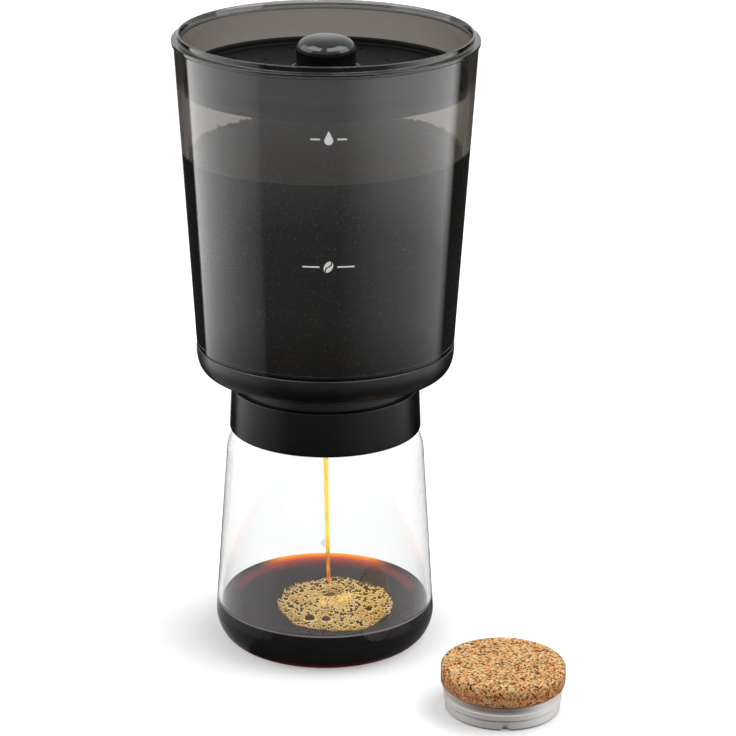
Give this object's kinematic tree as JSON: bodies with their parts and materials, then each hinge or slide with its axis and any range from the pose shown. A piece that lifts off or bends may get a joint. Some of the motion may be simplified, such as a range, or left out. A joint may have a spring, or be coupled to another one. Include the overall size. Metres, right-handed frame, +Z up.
{
  "type": "cold brew coffee maker",
  "caption": "Tapered smoky brewing container with a lift-out filter and water distributor, on a black base and a glass carafe, with a cork stopper beside it.",
  "frame": {"origin": "centre of the carafe's flat bottom, on the table", "axes": "+Z up along the axis of carafe and brewer; -Y towards the viewer, +X to the stopper side"},
  "size_m": [0.1892, 0.1937, 0.3096],
  "materials": {
    "clear_glass": "clear polished glass",
    "smoked_plastic": "smoky transparent plastic, glossy",
    "satin_black": "satin",
    "gloss_black": "glossy",
    "silicone": "matt",
    "steel": "fine brushed",
    "coffee": "liquid, mirror-smooth",
    "crema": "bubbly foam",
    "ground_coffee": "loose, coarse grains",
    "cork": "pressed cork granules",
    "frosted_plastic": "frosted translucent",
    "frosted_silicone": "frosted translucent"
  },
  "bodies": {
    "carafe": {"carafe_glass": "clear_glass", "brewed_coffee": "coffee", "coffee_foam": "crema"},
    "valve": {"valve_actuator": "satin_black", "valve_stem": "steel", "valve_seal": "silicone", "valve_clip": "steel", "valve_spring": "steel"},
    "brewer": {"brew_container": "smoked_plastic", "base_seal": "silicone", "base_housing": "satin_black", "neck_collar": "satin_black", "drain_plate": "satin_black", "neck_gasket": "silicone", "valve_seat": "silicone", "base_screw_1": "steel", "base_screw_2": "steel", "base_screw_3": "steel", "base_screw_4": "steel"},
    "filter": {"filter_frame": "satin_black", "filter_mesh": "steel", "filter_gasket": "silicone", "coffee_grounds": "ground_coffee"},
    "rainmaker": {"rainmaker_dish": "satin_black", "rainmaker_knob": "gloss_black", "knob_screw": "steel"},
    "stopper": {"stopper_cork": "cork", "stopper_core": "frosted_plastic", "stopper_seal": "frosted_silicone"}
  },
  "joints": [
    {"name": "lift_off", "type": "slide", "parent": "carafe", "child": "valve", "axis": [0, 0, 1], "range_m": [0, 0.16]},
    {"name": "valve_stroke", "type": "slide", "parent": "valve", "child": "brewer", "axis": [0, 0, 1], "range_m": [0, 0.003], "stiffness_N_per_m": 150, "springref_m": 0.012, "deforming": ["valve_spring"]},
    {"name": "filter_lift", "type": "slide", "parent": "brewer", "child": "filter", "axis": [0, 0, 1], "range_m": [0, 0.165]},
    {"name": "rainmaker_lift", "type": "slide", "parent": "filter", "child": "rainmaker", "axis": [0, 0, 1], "range_m": [0, 0.08]},
    {"name": "stopper_lift", "type": "slide", "parent": "carafe", "child": "stopper", "axis": [0, 0, 1], "range_m": [0, 0.1]}
  ]
}
